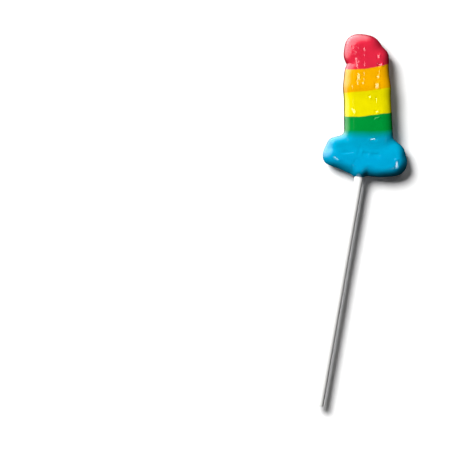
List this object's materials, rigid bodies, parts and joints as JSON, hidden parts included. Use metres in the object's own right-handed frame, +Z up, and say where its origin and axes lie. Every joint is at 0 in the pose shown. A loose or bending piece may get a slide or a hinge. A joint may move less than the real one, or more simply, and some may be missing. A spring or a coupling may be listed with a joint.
{
  "type": "gummy lollipop",
  "caption": "Moulded gummy sweet with a rounded tip, a banded shaft and a two-lobed foot, pushed onto a slim white tube that holds it.",
  "frame": {"origin": "middle of the whole lollipop's footprint, on the surface it lies on", "axes": "+Y along the lollipop towards the sweet's rounded tip, +X to the right of the shown side, +Z up out of the shown side"},
  "size_m": [0.0492, 0.1982, 0.0178],
  "materials": {
    "gummy_blue": "oiled gelatine jelly, sky blue",
    "gummy_green": "oiled gelatine jelly, mid green",
    "gummy_yellow": "oiled gelatine jelly, lemon yellow",
    "gummy_orange": "oiled gelatine jelly, warm orange",
    "gummy_red": "oiled gelatine jelly, cool red",
    "stick": "extruded white plastic, satin"
  },
  "bodies": {
    "root": {"gummy_blue": "gummy_blue", "gummy_green": "gummy_green", "gummy_yellow": "gummy_yellow", "gummy_orange": "gummy_orange", "gummy_red": "gummy_red", "stick": "stick"}
  },
  "joints": []
}
